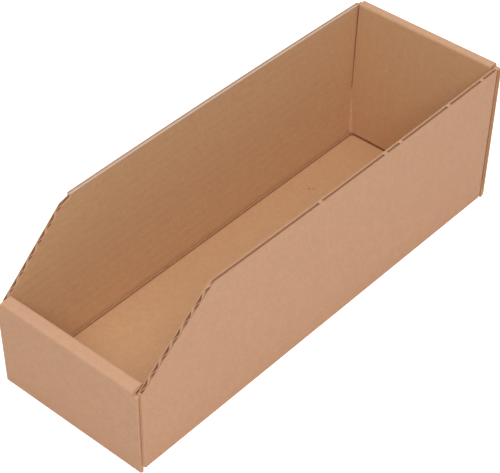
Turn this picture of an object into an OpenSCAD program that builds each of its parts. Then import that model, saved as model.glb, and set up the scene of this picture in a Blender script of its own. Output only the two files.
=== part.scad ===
// Shelf bin box, folded from one die-cut blank of single-wall corrugated board.
// Millimetres, +Z up. The origin is on the underside, at the middle of the overall box.
// X runs across the bin, the low open front is at -Y and the full-height back at +Y.

/* [Bin] */
// Length over the outer front and back panels
bin_length = 305; // [200:5:600]
// Width over the side faces, at the floor
bin_width = 102.2; // [80:0.2:300]
// Height of the side walls along their level part
side_height = 99.4; // [90:0.2:120]
// How much higher the back roll stands than the side walls
back_rise = 1.6; // [0:0.2:5]
// Height over the front roll
front_height = 60.8; // [45:0.2:75]
// Height at which the sloped cuts end behind the front panel
slope_foot = 56.6; // [40:0.2:70]
// Distance from the front face to the top of each sloped cut
slope_run = 57; // [40:0.5:100]

/* [Lean] */
// How far the side walls lean out at the front, at their level top
front_lean = 1.4; // [0:0.1:3]
// How far the right wall leans out at the back
right_back_lean = 2.9; // [0:0.1:3]
// How far the left wall leans out at the back
left_back_lean = 0.5; // [0:0.1:3]
// Further bow of the side walls at half length
wall_bow = 1.4; // [0:0.1:3]

/* [Board] */
// Thickness of the corrugated board
board_t = 2.7; // [2.6:0.1:3.4]
// Thickness of each liner
liner_t = 0.4; // [0.3:0.05:0.5]
// Thickness of the fluted paper between the liners
medium_t = 0.35; // [0.25:0.05:0.45]
// Distance from crest to crest of the flutes
flute_pitch = 6.3; // [5:0.1:8]
// How far the flute tunnels are open behind a cut across them
tunnel_depth = 9; // [4:1:15]
// Height of the lowest outer flute of the right wall
right_first_flute = 0.7; // [0:0.1:6]
// Height of the lowest outer flute of the left wall
left_first_flute = 1.6; // [0:0.1:6]
// Width of the groove along a cut that runs with the flutes
groove_w = 1.3; // [0.8:0.1:1.5]
// Depth of the groove in the right wall's level top
right_groove = 1.8; // [0.5:0.1:2.5]
// Depth of the groove in the left wall's level top, where the liners are pressed together
left_groove = 0.7; // [0.3:0.1:2.5]
// Depth of the grooves in the upright raw edges of the outer panels
edge_groove = 0.6; // [0.3:0.1:1]

/* [Folds] */
// Outer radius of every fold
fold_r = 2.4; // [1.8:0.1:2.5]
// Air left between two layers that lie on each other
layer_gap = 0.15; // [0.1:0.05:0.3]
// Radius of the crushed crease along the inside of a floor fold
crease_r = 0.7; // [0.4:0.1:0.9]

/* [Rolled panels] */
// Outer radius of the folds over the top of a roll
roll_r = 2; // [1.6:0.1:2.4]
// Depth of the front roll over its top
front_top_depth = 8.6; // [8:0.1:12]
// Depth of the back roll over its top, where it is pressed flat
back_top_depth = 6; // [5.8:0.1:10]
// Height at which the back inner panel stands furthest in, over its trapped flaps
back_bend = 38; // [30:1:60]
// Depth of the back roll at that height
back_bend_depth = 9.4; // [9:0.1:11]
// Gap between each end of a roll and the side wall beside it
roll_side_gap = 0.5; // [0.4:0.1:1]
// Extra gap at the top corners of the back roll, tapering to nothing below
wedge_gap = 0.5; // [0.2:0.1:2]
// Height of the back roll over which that taper runs
wedge_run = 52; // [30:1:60]
// Gap under the foot of each inner panel
foot_gap = 0.8; // [0.4:0.1:1.2]
// Drop of the front panel's shoulders beside the roll
front_shoulder = 4; // [3:0.5:6]
// Drop of the back panel's shoulders beside the roll
back_shoulder = 3; // [3:0.5:6]
// Radius of the soft lower part of the back corners
corner_r = 3.5; // [2:0.5:5]
// Height over which that rounding fades out
corner_rise = 36; // [20:1:60]

/* [Trapped flaps] */
// Length of the flaps at the ends of the side walls, from the side face
flap_len = 38; // [20:1:39]
// Fall of a flap's top and bottom edges towards its free end
flap_taper = 3; // [1:0.5:6]

/* [Worn corner] */
// Step at the top of the left wall's sloped cut
notch_drop = 2.2; // [1:0.1:3]
// Length of the short flatter cut in front of that step
notch_run = 6.5; // [4:0.5:8]
// Fall of that flatter cut
notch_fall = 1.5; // [0.5:0.1:2]

/* [Locks] */
// Width of a lock tab where it leaves the inner panel
tab_w = 16; // [10:1:20]
// Distance between the middles of the two tabs of a panel
tab_pitch = 50; // [30:1:55]
// Taper at each side of a tab
tab_taper = 1.5; // [0.5:0.1:2.5]
// Play round a tab in its slot
tab_play = 0.5; // [0.3:0.1:1]
// Distance that a tab ends above the underside
tab_lift = 0.5; // [0.3:0.1:1]

/* [Hidden] */
$fn = 48;
// Overshoot of cutters past the faces that they cut
over = 1;
// Overlap of joined pieces inside each other
lap = 0.2;
// Depth of a roll at its foot: outer panel, trapped flap and inner panel
roll_d = 3 * board_t + 2 * layer_gap;
// Side walls start behind the outer front and back panels
wall_half = bin_length / 2 - board_t - layer_gap;
// Half width of the floor and of the straight outer fold lines
half_w = bin_width / 2;
back_height = side_height + back_rise;
lean_rise = side_height - fold_r;
slope_top_y = slope_run - bin_length / 2;
slope_rate = (side_height - slope_foot) / (slope_top_y + wall_half);
// Height of the short upright foot of an inner panel
foot_rise = 3;
// Stations along a bowed wall
stations = 5;
// Board left whole at the rounded ends of a wall, by the flute tunnels and by the top groove
tunnel_clear = 0.6 * fold_r;
groove_clear = 0.8 * fold_r;
// Half height of an open flute cell, and the power that flattens its wave at the crests
cell_reach = 0.4 * flute_pitch;
cell_power = 1.5;
// Points from the middle of a flute cell to each end
cell_steps = 6;
// Distance of a corner rounding's axis from both faces: it cuts them at a slight edge
corner_off = 0.9 * corner_r;
kraft = "#c39474";

// Outward lean of a side wall's level top at length y, for its lean at the back
function lean(y, back) =
    let (t = max(-1, min(1, y / wall_half)))
    (front_lean + back) / 2 + (back - front_lean) / 2 * t + wall_bow * (1 - t * t);
// The same at height z
function lean_at(y, z, back) = lean(y, back) * (z - fold_r) / lean_rise;
// Greatest lean along a wall, and the shift that brings the overall box to the middle
function most_lean(back) = max([for (k = [-stations:stations]) lean(k / stations * wall_half, back)]);
centre_shift = (most_lean(left_back_lean) - most_lean(right_back_lean)) / 2;

// Turns a drawing in (y, z) into a plate along X, centred
module across(width) {
    rotate([90, 0, 90])
        translate([0, 0, -width / 2])
            linear_extrude(width)
                children();
}

// Region between planes that lean like the ends of the left and right walls, moved in by a distance.
// Its upper corners are moved in further by a wedge.
module between_walls(leans, inset, height, wedge = 0) {
    levels = [
        [-over, 0],
        if (wedge > 0) [height - wedge_run, 0],
        [height, wedge],
        [height + over, wedge]
    ];
    edge = [
        for (back = leans)
            [for (l = levels) [half_w + back * (l[0] - fold_r) / lean_rise - inset - l[1], l[0]]]
    ];
    rotate([90, 0, 0])
        linear_extrude(2 * bin_length, center = true)
            polygon([
                for (p = edge[1]) p,
                for (k = [len(levels) - 1:-1:0]) [-edge[0][k][0], edge[0][k][1]]
            ]);
}

// Quarter disc for the outside of a fold, centred on the fold's axis
module fold_quarter(r) {
    intersection() {
        circle(r);
        translate([-r, -r])
            square(r);
    }
}

// Floor panel, up to its fold lines
module floor_panel() {
    floor_w = bin_width - 2 * fold_r;
    floor_l = bin_length - 2 * fold_r;
    translate([-floor_w / 2, -floor_l / 2, 0])
        cube([floor_w, floor_l, board_t]);
}

// Fold between the floor and the side wall at +X
module wall_fold() {
    translate([half_w - fold_r, 0, fold_r])
        rotate([90, 0, 0])
            linear_extrude(2 * (wall_half - fold_r), center = true)
                mirror([1, 0])
                    fold_quarter(fold_r);
}

// Crushed crease along the inside of that fold
module wall_crease() {
    translate([half_w - board_t, 0, board_t])
        rotate([90, 0, 0])
            cylinder(r = crease_r, h = bin_length - 2 * roll_d + board_t, center = true);
}

// Outline of the outer panel of a roll and its fold to the floor, in (y, z)
module outer_outline(height) {
    translate([0, fold_r])
        square([board_t, height - fold_r]);
    translate([fold_r, 0])
        square([board_t - fold_r, board_t]);
    translate([fold_r, fold_r])
        fold_quarter(fold_r);
}

// Outline of the top folds, top strip and inner panel of a roll, in (y, z)
module inner_outline(height, shoulder, top_depth, bend, bend_depth) {
    foot = board_t + foot_gap;
    translate([0, height - shoulder - board_t])
        square([board_t, shoulder + board_t - roll_r]);
    translate([roll_r, height - roll_r])
        mirror([0, 1])
            fold_quarter(roll_r);
    translate([roll_r, height - board_t])
        square([top_depth - 2 * roll_r, board_t]);
    translate([top_depth - roll_r, height - roll_r])
        mirror([1, 1])
            fold_quarter(roll_r);
    polygon([
        [top_depth, height - roll_r],
        [bend_depth, bend],
        [roll_d, foot + foot_rise],
        [roll_d, foot],
        [roll_d - board_t, foot],
        [roll_d - board_t, foot + foot_rise],
        [bend_depth - board_t, bend],
        [top_depth - board_t, height - board_t],
        [top_depth - board_t, height - roll_r]
    ]);
}

// Lock tabs under an inner panel
module lock_tabs() {
    for (x = [-tab_pitch / 2, tab_pitch / 2])
        translate([x, roll_d, 0])
            rotate([90, 0, 0])
                linear_extrude(board_t)
                    polygon([
                        [-tab_w / 2, board_t + foot_gap + lap],
                        [-tab_w / 2 + tab_taper, tab_lift],
                        [tab_w / 2 - tab_taper, tab_lift],
                        [tab_w / 2, board_t + foot_gap + lap]
                    ]);
}

// Slots in the floor for those tabs
module lock_slots() {
    for (x = [-tab_pitch / 2, tab_pitch / 2])
        translate([x - tab_w / 2 - tab_play, roll_d - board_t - tab_play, -over])
            cube([tab_w + 2 * tab_play, board_t + 2 * tab_play, board_t + 2 * over]);
}

// Groove between the liners along the upright raw edges of an outer panel
module upright_grooves(leans, height) {
    for (side = [0, 1])
        mirror([1 - side, 0, 0])
            translate([half_w, board_t - liner_t - groove_w, fold_r])
                rotate([0, atan(leans[side] / lean_rise), 0])
                    translate([-edge_groove, 0, board_t])
                        cube([edge_groove + over, groove_w, height - fold_r - board_t + over]);
}

// Front or back end, drawn with its outer face on y = 0
module rolled_end(leans, height, shoulder, top_depth, bend, bend_depth, wedge) {
    difference() {
        intersection() {
            across(2 * bin_width)
                outer_outline(height - shoulder);
            between_walls(leans, 0, height);
        }
        upright_grooves(leans, height);
    }
    intersection() {
        across(2 * bin_width)
            inner_outline(height, shoulder, top_depth, bend, bend_depth);
        between_walls(leans, board_t + roll_side_gap, height, wedge);
    }
    lock_tabs();
}

// Sections along a side wall: place, and how far its outer face is drawn in by the end folds
wall_rows = [
    for (a = [-90:15:-15]) [fold_r - wall_half + fold_r * sin(a), fold_r - fold_r * cos(a)],
    for (k = [-stations:stations]) [k / stations * (wall_half - fold_r), 0],
    for (a = [15:15:90]) [wall_half - fold_r + fold_r * sin(a), fold_r - fold_r * cos(a)]
];

// Upright sheet at +X with its rounded ends, bowed and leaning as the open box springs
module wall_sheet(back) {
    last = 4 * (len(wall_rows) - 1);
    polyhedron(
        points = [
            for (row = wall_rows)
                for (corner = [[board_t, 0], [row[1], 0], [row[1], 1], [board_t, 1]])
                    [
                        half_w - corner[0] + corner[1] * lean(row[0], back),
                        row[0],
                        fold_r + corner[1] * lean_rise
                    ]
        ],
        faces = [
            [0, 3, 2, 1],
            for (i = [0:4:last - 4])
                for (f = [[1, 2, 5], [5, 2, 6], [4, 7, 3], [4, 3, 0], [3, 7, 6, 2], [0, 1, 5, 4]])
                    [for (v = f) i + v],
            [last + 1, last + 2, last + 3, last]
        ]
    );
}

// What the sloped cut takes off a side wall, in (y, height), with or without the worn step
module slope_waste(worn) {
    polygon([
        [slope_top_y, side_height + over],
        [slope_top_y, side_height],
        if (worn) [slope_top_y, side_height - notch_drop],
        if (worn) [slope_top_y - notch_run, side_height - notch_drop - notch_fall],
        [-wall_half, slope_foot],
        [-wall_half - over, slope_foot],
        [-wall_half - over, side_height + over]
    ]);
}

// Flap at one end of the wall at +X, trapped inside a roll, up to a height
module end_flap(lean_out, top) {
    low = board_t + layer_gap;
    inner = half_w - board_t;
    root = [for (z = [low, top]) inner + lap + lean_out * (z - fold_r) / lean_rise];
    translate([0, wall_half, 0])
        rotate([90, 0, 0])
            linear_extrude(board_t)
                polygon([
                    [half_w - flap_len, low + flap_taper],
                    [inner - board_t, low],
                    [root[0], low],
                    [root[1], top],
                    [inner - board_t, top],
                    [half_w - flap_len, top - flap_taper]
                ]);
}

// Open cell on one side of the fluted paper, in (x, height) from the board's middle: it lies
// between the paper's wave and the liner at side * x, and closes where the crest is glued
module flute_cell(side) {
    liner_face = board_t / 2 - liner_t;
    depth = 2 * liner_face - medium_t;
    wave = [
        for (k = [-cell_steps:cell_steps])
            [cos(90 * k / cell_steps) ^ cell_power, cell_reach * k / cell_steps]
    ];
    polygon([for (p = wave) [side * (liner_face - depth * p[0]), p[1]]]);
}

// Tunnels of the flutes, open at the sloped cut, counted up from the height of the lowest outer one
module flute_tunnels(back, first) {
    first_row = ceil(2 * (slope_foot - first) / flute_pitch);
    last_row = floor(2 * (side_height - board_t - first) / flute_pitch);
    for (i = [first_row:last_row]) {
        z = first + i * flute_pitch / 2;
        y = (z - slope_foot) / slope_rate - wall_half;
        front = max(y - flute_pitch / slope_rate, tunnel_clear - wall_half);
        turn = atan(lean_at(y + 1, z, back) - lean_at(y, z, back));
        translate([half_w - board_t / 2 + lean_at(y, z, back), y, z])
            rotate([90, 0, -turn])
                translate([0, 0, -tunnel_depth])
                    linear_extrude(y + tunnel_depth - front)
                        flute_cell(i % 2 == 0 ? 1 : -1);
    }
}

// Groove between the liners along the level top edge, following the wall's bow
module top_groove(back, depth) {
    start = slope_top_y - board_t;
    end = wall_half - groove_clear;
    line = [for (k = [0:stations]) start + (end - start) * k / stations];
    outer = half_w - liner_t;
    translate([0, 0, side_height - depth])
        linear_extrude(depth + over)
            polygon([
                for (y = line) [outer + lean(y, back), y],
                for (k = [stations:-1:0]) [outer - groove_w + lean(line[k], back), line[k]]
            ]);
}

// One side wall at +X with both end flaps
module side_wall(back, groove, first_cell, worn) {
    difference() {
        wall_sheet(back);
        across(4 * bin_width)
            slope_waste(worn);
        flute_tunnels(back, first_cell);
        top_groove(back, groove);
    }
    wall_fold();
    end_flap(back, back_bend);
    mirror([0, 1, 0])
        end_flap(front_lean, slope_foot - over);
}

// Soft lower part of a back corner at +X, leaning with the wall and the inner panel, fading out upwards
module back_corner(back) {
    fade = atan((corner_off - corner_r * sqrt(0.5)) / corner_rise);
    panel_lean = atan((back_bend_depth - roll_d) / (back_bend - board_t));
    translate([half_w - board_t, bin_length / 2 - roll_d, board_t + foot_gap])
        rotate([panel_lean, atan(back / lean_rise), 0])
            difference() {
                translate([-corner_off, -corner_off, 0])
                    cube([corner_off + lap, corner_off + lap, corner_rise]);
                translate([-corner_off, -corner_off, 0])
                    rotate([-fade, fade, 0])
                        translate([0, 0, -over])
                            cylinder(r = corner_r, h = corner_rise + 2 * over);
            }
}

// The whole folded blank
module folded_bin() {
    front_leans = [front_lean, front_lean];
    back_leans = [left_back_lean, right_back_lean];
    color(kraft)
        translate([centre_shift, 0, 0]) {
            difference() {
                union() {
                    floor_panel();
                    side_wall(right_back_lean, right_groove, right_first_flute, false);
                    mirror([1, 0, 0])
                        side_wall(left_back_lean, left_groove, left_first_flute, true);
                }
                for (end = [0, 1])
                    mirror([0, end, 0])
                        translate([0, -bin_length / 2, 0])
                            lock_slots();
                for (side = [0, 1])
                    mirror([side, 0, 0])
                        wall_crease();
            }
            translate([0, -bin_length / 2, 0])
                rolled_end(front_leans, front_height, front_shoulder, front_top_depth, back_bend, roll_d, 0);
            mirror([0, 1, 0])
                translate([0, -bin_length / 2, 0])
                    rolled_end(
                        back_leans,
                        back_height,
                        back_shoulder,
                        back_top_depth,
                        back_bend,
                        back_bend_depth,
                        wedge_gap
                    );
            back_corner(right_back_lean);
            mirror([1, 0, 0])
                back_corner(left_back_lean);
        }
}

folded_bin();
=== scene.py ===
from math import pi, radians

import bpy
from mathutils import Matrix, Vector


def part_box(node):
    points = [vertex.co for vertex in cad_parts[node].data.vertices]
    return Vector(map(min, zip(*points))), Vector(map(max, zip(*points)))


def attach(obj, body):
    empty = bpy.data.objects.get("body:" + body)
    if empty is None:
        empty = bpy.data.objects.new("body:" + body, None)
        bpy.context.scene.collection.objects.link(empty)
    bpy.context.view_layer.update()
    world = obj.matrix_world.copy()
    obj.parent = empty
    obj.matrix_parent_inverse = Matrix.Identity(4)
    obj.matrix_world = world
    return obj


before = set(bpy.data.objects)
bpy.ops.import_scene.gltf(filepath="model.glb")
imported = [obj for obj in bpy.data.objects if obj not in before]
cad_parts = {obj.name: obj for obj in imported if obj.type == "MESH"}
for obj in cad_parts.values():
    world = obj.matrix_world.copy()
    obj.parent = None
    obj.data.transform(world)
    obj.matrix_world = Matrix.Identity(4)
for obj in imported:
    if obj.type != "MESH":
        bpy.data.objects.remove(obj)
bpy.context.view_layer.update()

# The shelf bin box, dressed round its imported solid. Metres, in the frame of the solid:
# X across the bin, the low open front at -Y, the full-height back at +Y, Z up.


# Camera
# A long lens looks down into the bin over its right front corner, as the photograph does.
# The place, the three angles and the lens come from a fit of the bin's edges to the photograph.
camera_place = Vector((0.4984, -0.5694, 0.6981))
camera_azimuth = radians(41.643)
camera_fall = radians(41.165)
camera_roll = radians(-0.08)
lens_mm = 126.22
sensor_mm = 36.0

camera_data = bpy.data.cameras.new("camera")
camera_data.lens = lens_mm
camera_data.sensor_width = sensor_mm
camera_data.sensor_fit = "HORIZONTAL"
camera_data.clip_start = 0.05
camera_data.clip_end = 20.0
camera = bpy.data.objects.new("camera", camera_data)
camera.matrix_world = (
    Matrix.Translation(camera_place)
    @ Matrix.Rotation(camera_azimuth, 4, "Z")
    @ Matrix.Rotation(pi / 2 - camera_fall, 4, "X")
    @ Matrix.Rotation(camera_roll, 4, "Z")
)
bpy.context.scene.collection.objects.link(camera)
bpy.context.scene.camera = camera


# Floor
# A wide sheet of matt white background paper under the bin. The camera sees it as plain white,
# as the cut-out photograph has it, apart from the bin's own soft shadow.
floor_half = 6.0
floor_colour = "#F4F3F1"
plain_white = "#FFFFFF"
floor_glow = 0.6


def linear(hex_colour):
    """Linear RGBA of an sRGB hex colour."""
    parts = [int(hex_colour[i:i + 2], 16) / 255 for i in (1, 3, 5)]
    return [p / 12.92 if p <= 0.04045 else ((p + 0.055) / 1.055) ** 2.4 for p in parts] + [1.0]


def node(tree, kind, settings=None, **links):
    """Adds a shader node with its settings. Inputs go by name, or by _number, and take a value,
    an output socket, or a node, which stands for its first output."""
    made = tree.nodes.new(kind)
    for name, value in (settings or {}).items():
        setattr(made, name, value)
    for name, value in links.items():
        socket = made.inputs[int(name[1:])] if name[0] == "_" else made.inputs[name.replace("_", " ")]
        if isinstance(value, bpy.types.Node):
            value = value.outputs[0]
        if isinstance(value, bpy.types.NodeSocket):
            tree.links.new(value, socket)
        else:
            socket.default_value = value
    return made


def new_material(name):
    """An empty node material, its node tree and its output node."""
    made = bpy.data.materials.new(name)
    made.use_nodes = True
    made.node_tree.nodes.clear()
    return made, made.node_tree, made.node_tree.nodes.new("ShaderNodeOutputMaterial")


bpy.ops.object.select_all(action="DESELECT")
bpy.ops.mesh.primitive_plane_add(size=2 * floor_half, location=(0, 0, 0))
floor = bpy.context.object
floor.name = "floor"

# Background paper is uncoated: it shows no highlight and takes soft shadows. The camera sees it with
# a glow of its own, which adds no light to the bin.
background_paper, tree, output = new_material("background_paper")
paper = node(tree, "ShaderNodeBsdfDiffuse", Color=linear(floor_colour), Roughness=0.9)
glow = node(tree, "ShaderNodeEmission", Color=linear(plain_white), Strength=floor_glow)
lit = node(tree, "ShaderNodeAddShader", _0=paper, _1=glow)
path = node(tree, "ShaderNodeLightPath")
surface = node(tree, "ShaderNodeMixShader", _0=path.outputs["Is Camera Ray"], _1=paper, _2=lit)
tree.links.new(surface.outputs[0], output.inputs["Surface"])
floor.data.materials.append(background_paper)


# Light
# A plain pale surround with a broad soft lamp high on the camera's side, a second overhead and two
# weak ones at the right and behind, so that no side goes dark. The camera sees the surround as white.
surround_strength = 0.373
bin_low, bin_high = (Vector(corner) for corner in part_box("folded_bin"))

world = bpy.data.worlds.new("studio")
bpy.context.scene.world = world
world.use_nodes = True
tree = world.node_tree
tree.nodes.clear()
path = node(tree, "ShaderNodeLightPath")
seen = node(tree, "ShaderNodeMath", {"operation": "MAXIMUM"},
            _0=path.outputs["Is Camera Ray"], _1=path.outputs["Is Glossy Ray"])
seen = node(tree, "ShaderNodeMath", {"operation": "MAXIMUM"},
            _0=seen, _1=path.outputs["Is Transmission Ray"])
ambient = node(tree, "ShaderNodeBackground", Color=linear(plain_white), Strength=surround_strength)
white = node(tree, "ShaderNodeBackground", Color=linear(plain_white), Strength=1.0)
mixed = node(tree, "ShaderNodeMixShader", _0=seen, _1=ambient, _2=white)
output = node(tree, "ShaderNodeOutputWorld", Surface=mixed)


def soft_lamp(name, place, size, watts):
    """A square area lamp that faces the middle of the bin."""
    data = bpy.data.lights.new(name, "AREA")
    data.energy = watts
    data.size = size
    lamp = bpy.data.objects.new(name, data)
    aim = (bin_low + bin_high) / 2 - Vector(place)
    lamp.matrix_world = Matrix.Translation(place) @ aim.to_track_quat("-Z", "Y").to_matrix().to_4x4()
    bpy.context.scene.collection.objects.link(lamp)


soft_lamp("key_lamp", (1.3, -1.2, 2.0), 1.2, 36.4)
soft_lamp("top_lamp", (0.0, 0.0, 2.2), 1.6, 10.0)
soft_lamp("right_lamp", (2.2, -0.2, 1.2), 1.2, 3.1)
soft_lamp("back_lamp", (-0.6, 1.8, 2.0), 1.2, 3.9)


# Folded bin
# One die-cut blank of brown B-flute corrugated board, folded, rolled over at both ends and locked
# by its own tabs. Its solid keeps its shape and takes the finish of the board's kraft liner.
board = 0.0027
liner = 0.0004
flute_pitch = 0.0063
# Half the width and the middle of the floor, which isn't at 0 because the right wall leans out more
half_width = 0.0511
middle = -0.00063
# Half the length and the level top of the side walls
wall_half = 0.14965
level_height = 0.0994
# How far a side wall's level top leans out at its ends and bows out at half length. The lean grows
# from the top of the floor fold up.
front_lean = 0.0014
left_lean = 0.0005
right_lean = 0.0029
wall_bow = 0.0014
lean_foot = 0.0024
lean_rise = 0.0970

# Kraft liner is unbleached, uncoated paper, pressed on the flutes under it. It gives the eye a matt
# warm brown, a little yellower inside, with fibres, a faint washboard and raw cut edges, and with
# painted shade darkening its creases, gaps and grooves.
kraft, tree, output = new_material("kraft_corrugated_board")
spot = node(tree, "ShaderNodeTexCoord")
place = node(tree, "ShaderNodeSeparateXYZ", Vector=spot.outputs["Object"])
facing = node(tree, "ShaderNodeSeparateXYZ", Vector=spot.outputs["Normal"])
x_place, y_place, z_place = place.outputs
x_facing, y_facing, z_facing = facing.outputs

# Depth of a point in a side wall behind its outer face. Backwards is 0 at the front end of a wall
# and 1 at its back end, and the bow is 4 x backwards x forwards of its greatest.
x_middle = node(tree, "ShaderNodeMath", {"operation": "SUBTRACT"}, _0=x_place, _1=middle)
from_middle = node(tree, "ShaderNodeMath", {"operation": "ABSOLUTE"}, _0=x_middle)
backwards = node(tree, "ShaderNodeMath", {"operation": "MULTIPLY_ADD", "use_clamp": True},
                 _0=y_place, _1=0.5 / wall_half, _2=0.5)
forwards = node(tree, "ShaderNodeMath", {"operation": "SUBTRACT"}, _0=1.0, _1=backwards)
lean_behind = node(tree, "ShaderNodeMapRange", Value=x_middle, From_Min=-board, From_Max=board,
                   To_Min=left_lean, To_Max=right_lean)
bowed = node(tree, "ShaderNodeMath", {"operation": "MULTIPLY"}, _0=backwards, _1=4 * wall_bow)
bowed = node(tree, "ShaderNodeMath", {"operation": "ADD"}, _0=bowed, _1=front_lean)
leaning = node(tree, "ShaderNodeMath", {"operation": "MULTIPLY"}, _0=backwards, _1=lean_behind)
leaning = node(tree, "ShaderNodeMath", {"operation": "MULTIPLY_ADD"}, _0=bowed, _1=forwards, _2=leaning)
height = node(tree, "ShaderNodeMath", {"operation": "MULTIPLY_ADD"},
              _0=z_place, _1=1 / lean_rise, _2=-lean_foot / lean_rise)
depth = node(tree, "ShaderNodeMath", {"operation": "MULTIPLY_ADD"}, _0=leaning, _1=height, _2=half_width)
depth = node(tree, "ShaderNodeMath", {"operation": "SUBTRACT"}, _0=depth, _1=from_middle)

# Faces that look into the bin, which start part of the way round a fold
floor_zone = 2 * board
turn_start = 0.3
turn_end = 0.95
x_inwards = node(tree, "ShaderNodeMath", {"operation": "SIGN"}, _0=x_middle)
x_inwards = node(tree, "ShaderNodeMath", {"operation": "MULTIPLY"}, _0=x_inwards, _1=x_facing)
y_inwards = node(tree, "ShaderNodeMath", {"operation": "SIGN"}, _0=y_place)
y_inwards = node(tree, "ShaderNodeMath", {"operation": "MULTIPLY"}, _0=y_inwards, _1=y_facing)
inwards = node(tree, "ShaderNodeMath", {"operation": "MINIMUM"}, _0=x_inwards, _1=y_inwards)
low = node(tree, "ShaderNodeMath", {"operation": "LESS_THAN"}, _0=z_place, _1=floor_zone)
floor_up = node(tree, "ShaderNodeMath", {"operation": "MULTIPLY"}, _0=low, _1=z_facing)
inwards = node(tree, "ShaderNodeMath", {"operation": "SUBTRACT"}, _0=floor_up, _1=inwards)
inside = node(tree, "ShaderNodeMapRange", Value=inwards, From_Min=turn_start, From_Max=turn_end)

# Raw cut edges: faces in the thickness of a side wall, between the front panel and the back roll,
# that don't look sideways. On the left wall's level top the liners are pressed together.
sideways_facing = 0.5
lowest_cut = 0.05
wall_play = 0.0002
back_roll_front = 0.1464
level_zone = 0.0020
flat = node(tree, "ShaderNodeMath", {"operation": "ABSOLUTE"}, _0=x_facing)
flat = node(tree, "ShaderNodeMath", {"operation": "LESS_THAN"}, _0=flat, _1=sideways_facing)
high = node(tree, "ShaderNodeMath", {"operation": "GREATER_THAN"}, _0=z_place, _1=lowest_cut)
in_wall = node(tree, "ShaderNodeMath", {"operation": "LESS_THAN"}, _0=depth, _1=board + wall_play)
before_back = node(tree, "ShaderNodeMath", {"operation": "LESS_THAN"}, _0=y_place, _1=back_roll_front)
behind_front = node(tree, "ShaderNodeMath", {"operation": "GREATER_THAN"}, _0=y_place, _1=-wall_half)
cut = node(tree, "ShaderNodeMath", {"operation": "MULTIPLY"}, _0=flat, _1=high)
cut = node(tree, "ShaderNodeMath", {"operation": "MULTIPLY"}, _0=cut, _1=in_wall)
cut = node(tree, "ShaderNodeMath", {"operation": "MULTIPLY"}, _0=cut, _1=before_back)
cut = node(tree, "ShaderNodeMath", {"operation": "MULTIPLY"}, _0=cut, _1=behind_front)
left_side = node(tree, "ShaderNodeMath", {"operation": "LESS_THAN"}, _0=x_middle, _1=0.0)
level_top = node(tree, "ShaderNodeMath", {"operation": "GREATER_THAN"},
                 _0=z_place, _1=level_height - level_zone)
pressed = node(tree, "ShaderNodeMath", {"operation": "MULTIPLY"}, _0=level_top, _1=left_side)
pressed = node(tree, "ShaderNodeMath", {"operation": "MULTIPLY"}, _0=pressed, _1=cut)

# Fibres and clouds in the paper. Real fibres are about 0.03 mm thick and 2 mm long, too fine to show,
# so their streaks are drawn 1.6 mm apart and longer along the sheet.
fibre_spacing = 0.0015625
fibre_stretch = (1.0, 0.65, 1.0)
cloud_spacing = 0.005556
tint_spacing = 0.007692
fibre_place = node(tree, "ShaderNodeMapping", Vector=spot.outputs["Object"], Scale=fibre_stretch)
fibres = node(tree, "ShaderNodeTexNoise", Vector=fibre_place, Scale=1 / fibre_spacing, Detail=3.0,
              Roughness=0.6)
clouds = node(tree, "ShaderNodeTexNoise", Vector=spot.outputs["Object"], Scale=1 / cloud_spacing,
              Detail=3.0, Roughness=0.6)
tint = node(tree, "ShaderNodeTexNoise", Vector=spot.outputs["Object"], Scale=1 / tint_spacing,
            Detail=2.0)

# Painted shade in folds, grooves and gaps between layers, where ambient occlusion finds the board closed
# in; weaker on the floor and on the level top
cavity_shade_reach = 0.0022
open_sky = 0.72
closed_sky = 0.25
floor_cavity_shade = 0.15
wall_cavity_shade = 0.6
level_easing = 0.45
nearby = node(tree, "ShaderNodeAmbientOcclusion", {"samples": 8, "only_local": True}, Distance=cavity_shade_reach)
strength = node(tree, "ShaderNodeMapRange", Value=z_place, From_Min=3 * board, From_Max=6 * board,
                To_Min=floor_cavity_shade, To_Max=wall_cavity_shade)
strength = node(tree, "ShaderNodeMath", {"operation": "MULTIPLY_ADD"},
                _0=level_top, _1=-level_easing, _2=strength)
cavity_shade = node(tree, "ShaderNodeMapRange", {"interpolation_type": "SMOOTHSTEP"},
                Value=nearby.outputs["AO"], From_Min=open_sky, From_Max=closed_sky,
                To_Min=0.0, To_Max=strength)

# Painted shade along the crease round the floor, a rounded rectangle where the inner faces meet it
floor_half_length = 0.1441
floor_corner = 0.0035
crease_in = 0.0009
crease_reach = 0.0015
crease_core = 0.0004
crease_shade_strength = 0.9
beside = node(tree, "ShaderNodeMath", {"operation": "SUBTRACT"},
              _0=from_middle, _1=half_width - board - crease_in - floor_corner)
beside = node(tree, "ShaderNodeMath", {"operation": "MAXIMUM"}, _0=beside, _1=0.0)
lengthwise = node(tree, "ShaderNodeMath", {"operation": "ABSOLUTE"}, _0=y_place)
lengthwise = node(tree, "ShaderNodeMath", {"operation": "SUBTRACT"},
                  _0=lengthwise, _1=floor_half_length - floor_corner)
lengthwise = node(tree, "ShaderNodeMath", {"operation": "MAXIMUM"}, _0=lengthwise, _1=0.0)
from_corner = node(tree, "ShaderNodeCombineXYZ", X=beside, Y=lengthwise)
from_corner = node(tree, "ShaderNodeVectorMath", {"operation": "LENGTH"}, _0=from_corner)
outwards = node(tree, "ShaderNodeMath", {"operation": "SUBTRACT"},
                _0=from_corner.outputs["Value"], _1=floor_corner)
upwards = node(tree, "ShaderNodeMath", {"operation": "SUBTRACT"}, _0=z_place, _1=board)
from_crease = node(tree, "ShaderNodeCombineXYZ", X=outwards, Y=upwards)
from_crease = node(tree, "ShaderNodeVectorMath", {"operation": "LENGTH"}, _0=from_crease)
crease_shade = node(tree, "ShaderNodeMapRange", {"interpolation_type": "SMOOTHSTEP"},
               Value=from_crease.outputs["Value"], From_Min=crease_reach, From_Max=crease_core,
               To_Min=0.0, To_Max=crease_shade_strength)

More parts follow.
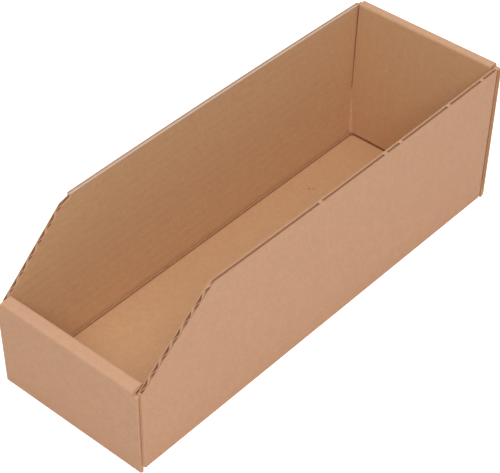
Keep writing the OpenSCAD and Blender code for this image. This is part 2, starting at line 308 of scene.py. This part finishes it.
# Colours. A colour mix takes its two colours at inputs 6 and 7 and gives the result at output 2.
outer_liner = "#CEA080"
inner_liner = "#CDA27A"
raw_edge = "#C09576"
rim = "#A67C5E"
rim_width = 1.2 * liner
pressed_edge = "#CDB5A3"
# Painted shade colour for gaps, grooves and folds
cavity_shade_colour = "#A3683E"
# Painted shade colour for the line along the floor crease
crease_shade_colour = "#8F5C3B"
paper = node(tree, "ShaderNodeMix", {"data_type": "RGBA"},
             _0=inside, _6=linear(outer_liner), _7=linear(inner_liner))
at_rim = node(tree, "ShaderNodeMath", {"operation": "LESS_THAN"}, _0=depth, _1=rim_width)
edge = node(tree, "ShaderNodeMix", {"data_type": "RGBA"}, _0=at_rim, _6=linear(raw_edge), _7=linear(rim))
edge = node(tree, "ShaderNodeMix", {"data_type": "RGBA"},
            _0=pressed, _6=edge.outputs[2], _7=linear(pressed_edge))
paper = node(tree, "ShaderNodeMix", {"data_type": "RGBA"},
             _0=cut, _6=paper.outputs[2], _7=edge.outputs[2])
# Mix in the painted shade of cavities and then the painted shade along the floor crease
paper = node(tree, "ShaderNodeMix", {"data_type": "RGBA"},
             _0=cavity_shade, _6=paper.outputs[2], _7=linear(cavity_shade_colour))
paper = node(tree, "ShaderNodeMix", {"data_type": "RGBA"},
             _0=crease_shade, _6=paper.outputs[2], _7=linear(crease_shade_colour))

# Loose specks caught in the paper: a pale one in the back panel and two dark ones on the floor
pale_speck = "#D9B08C"
dark_speck = "#9A7050"
specks = (
    ((-0.0241, 0.1445, 0.0636), pale_speck),
    ((-0.0325, 0.0831, 0.0027), dark_speck),
    ((-0.0304, 0.0850, 0.0027), dark_speck),
)
speck_reach = 0.0010
speck_core = 0.0004
speck_strength = 0.8
for speck_place, colour in specks:
    away = node(tree, "ShaderNodeVectorMath", {"operation": "DISTANCE"},
                _0=spot.outputs["Object"], _1=speck_place)
    here = node(tree, "ShaderNodeMapRange", Value=away.outputs["Value"], From_Min=speck_reach,
                From_Max=speck_core, To_Min=0.0, To_Max=speck_strength)
    paper = node(tree, "ShaderNodeMix", {"data_type": "RGBA"},
                 _0=here, _6=paper.outputs[2], _7=linear(colour))

# Light and dark of the clouds and fibres, and a drift of hue. Most of a noise lies in its middle.
noise_low = 0.3
noise_high = 0.7
cloud_shade = 0.02
fibre_shade = 0.05
hue_drift = 0.0025
shade = node(tree, "ShaderNodeMapRange", Value=clouds, From_Min=noise_low, From_Max=noise_high,
             To_Min=-cloud_shade, To_Max=cloud_shade)
streaks = node(tree, "ShaderNodeMapRange", Value=fibres, From_Min=noise_low, From_Max=noise_high,
               To_Min=-fibre_shade, To_Max=fibre_shade)
shade = node(tree, "ShaderNodeMath", {"operation": "ADD"}, _0=shade, _1=streaks)
shade = node(tree, "ShaderNodeMath", {"operation": "ADD"}, _0=shade, _1=1.0)
hue = node(tree, "ShaderNodeMapRange", Value=tint, From_Min=noise_low, From_Max=noise_high,
           To_Min=0.5 - hue_drift, To_Max=0.5 + hue_drift)
paper = node(tree, "ShaderNodeHueSaturation", Hue=hue, Value=shade, Color=paper.outputs[2])

# Washboard: the liner sinks between the flutes, which run lengthwise in the floor and side walls and
# upright in the end panels. The fibres stand on it.
washboard_depth = 0.00003
fibre_height = 0.0001
side = node(tree, "ShaderNodeMath", {"operation": "SUBTRACT"}, _0=1.0, _1=flat)
ridges = node(tree, "ShaderNodeMix", _0=side, _2=x_place, _3=z_place)
ridges = node(tree, "ShaderNodeMath", {"operation": "MULTIPLY"}, _0=ridges, _1=2 * pi / flute_pitch)
ridges = node(tree, "ShaderNodeMath", {"operation": "COSINE"}, _0=ridges)
ridges = node(tree, "ShaderNodeMath", {"operation": "MULTIPLY"}, _0=ridges, _1=washboard_depth)
relief = node(tree, "ShaderNodeMath", {"operation": "MULTIPLY_ADD"}, _0=fibres, _1=fibre_height, _2=ridges)

# The back inner panel rounds softly over its bend, where the flaps behind it push it forward
bend_height = 0.038
bend_reach = 0.026
bend_drop = 0.00057
back_panel_front = 0.1400
bend = node(tree, "ShaderNodeMath", {"operation": "SUBTRACT"}, _0=z_place, _1=bend_height)
bend = node(tree, "ShaderNodeMath", {"operation": "ABSOLUTE"}, _0=bend)
bend = node(tree, "ShaderNodeMapRange", Value=bend, From_Min=0.0, From_Max=bend_reach,
            To_Min=1.0, To_Max=0.0)
bend = node(tree, "ShaderNodeMath", {"operation": "POWER"}, _0=bend, _1=2.0)
on_back = node(tree, "ShaderNodeMath", {"operation": "GREATER_THAN"}, _0=y_place, _1=back_panel_front)
facing_front = node(tree, "ShaderNodeMath", {"operation": "LESS_THAN"}, _0=y_facing, _1=-sideways_facing)
bend = node(tree, "ShaderNodeMath", {"operation": "MULTIPLY"}, _0=bend, _1=on_back)
bend = node(tree, "ShaderNodeMath", {"operation": "MULTIPLY"}, _0=bend, _1=facing_front)
relief = node(tree, "ShaderNodeMath", {"operation": "MULTIPLY_ADD"}, _0=bend, _1=-bend_drop, _2=relief)
bump = node(tree, "ShaderNodeBump", Strength=1.0, Distance=1.0, Height=relief)

smoothest = 0.68
roughest = 0.86
roughness = node(tree, "ShaderNodeMapRange", Value=fibres, To_Min=smoothest, To_Max=roughest)
surface = node(tree, "ShaderNodeBsdfPrincipled", Base_Color=paper, Roughness=roughness,
               Specular_IOR_Level=0.3, Normal=bump)
tree.links.new(surface.outputs[0], output.inputs["Surface"])
bin_object = bpy.data.objects["folded_bin"]
for slot in bin_object.material_slots:
    slot.material = kraft


# Die nicks
# Small bridges that the cutting die leaves so that the blank stays in its sheet. Torn through, each
# stays as a rough flake of kraft liner over the groove in the right wall's level top.
nick_places = (-0.0120, 0.0434, 0.0569, 0.1013, 0.1337)
flake_width = 0.0018
flake_length = 0.0030
flake_thickness = 0.0003
flake_tear = 0.0002
first_seed = 3
groove_middle = 0.00115
torn_liner = "#D2AC8E"
torn_shade = "#B78E70"
fuzz_spacing = 0.0005556
fuzz_height = 0.0002


def outer_face(y, lean_at_back):
    """Place across the bin of a side wall's outer face at its level top."""
    share = (y / wall_half + 1) / 2
    leaned = front_lean * (1 - share) + lean_at_back * share
    return half_width + leaned + 4 * wall_bow * share * (1 - share)


# Torn kraft liner shows its loose fibres: paler than the sheet's face, fuzzy and quite without sheen
torn_paper, tree, output = new_material("torn_kraft_liner")
spot = node(tree, "ShaderNodeTexCoord")
fuzz = node(tree, "ShaderNodeTexNoise", Vector=spot.outputs["Object"], Scale=1 / fuzz_spacing, Detail=3.0)
paper = node(tree, "ShaderNodeMix", {"data_type": "RGBA"},
             _0=fuzz, _6=linear(torn_shade), _7=linear(torn_liner))
bump = node(tree, "ShaderNodeBump", Strength=1.0, Distance=fuzz_height, Height=fuzz)
surface = node(tree, "ShaderNodeBsdfPrincipled", Base_Color=paper.outputs[2], Roughness=0.9,
               Specular_IOR_Level=0.2, Normal=bump)
tree.links.new(surface.outputs[0], output.inputs["Surface"])

flakes = []
for number, y in enumerate(nick_places):
    bpy.ops.object.select_all(action="DESELECT")
    bpy.ops.mesh.primitive_grid_add(x_subdivisions=4, y_subdivisions=7, size=1.0, location=(0, 0, 0))
    flake = bpy.context.object
    bpy.ops.object.mode_set(mode="EDIT")
    bpy.ops.mesh.select_all(action="SELECT")
    bpy.ops.transform.resize(value=(flake_width, flake_length, 1.0))
    bpy.ops.transform.vertex_random(offset=flake_tear, seed=number + first_seed)
    across = middle + outer_face(y, right_lean) - groove_middle
    bpy.ops.transform.translate(value=(across, y, level_height + flake_thickness / 2))
    bpy.ops.object.mode_set(mode="OBJECT")
    thicken = flake.modifiers.new("thicken", "SOLIDIFY")
    thicken.thickness = flake_thickness
    bpy.ops.object.modifier_apply(modifier=thicken.name)
    soften = flake.modifiers.new("soften", "SUBSURF")
    soften.levels = soften.render_levels = 1
    bpy.ops.object.modifier_apply(modifier=soften.name)
    flakes.append(flake)
for flake in flakes:
    flake.select_set(True)
bpy.context.view_layer.objects.active = flakes[0]
bpy.ops.object.join()
die_nicks = bpy.context.object
die_nicks.name = "die_nicks"
bpy.ops.object.shade_smooth_by_angle(angle=radians(50))
die_nicks.data.materials.append(torn_paper)
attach(die_nicks, "root")

bpy.context.scene.view_settings.view_transform = "Standard"
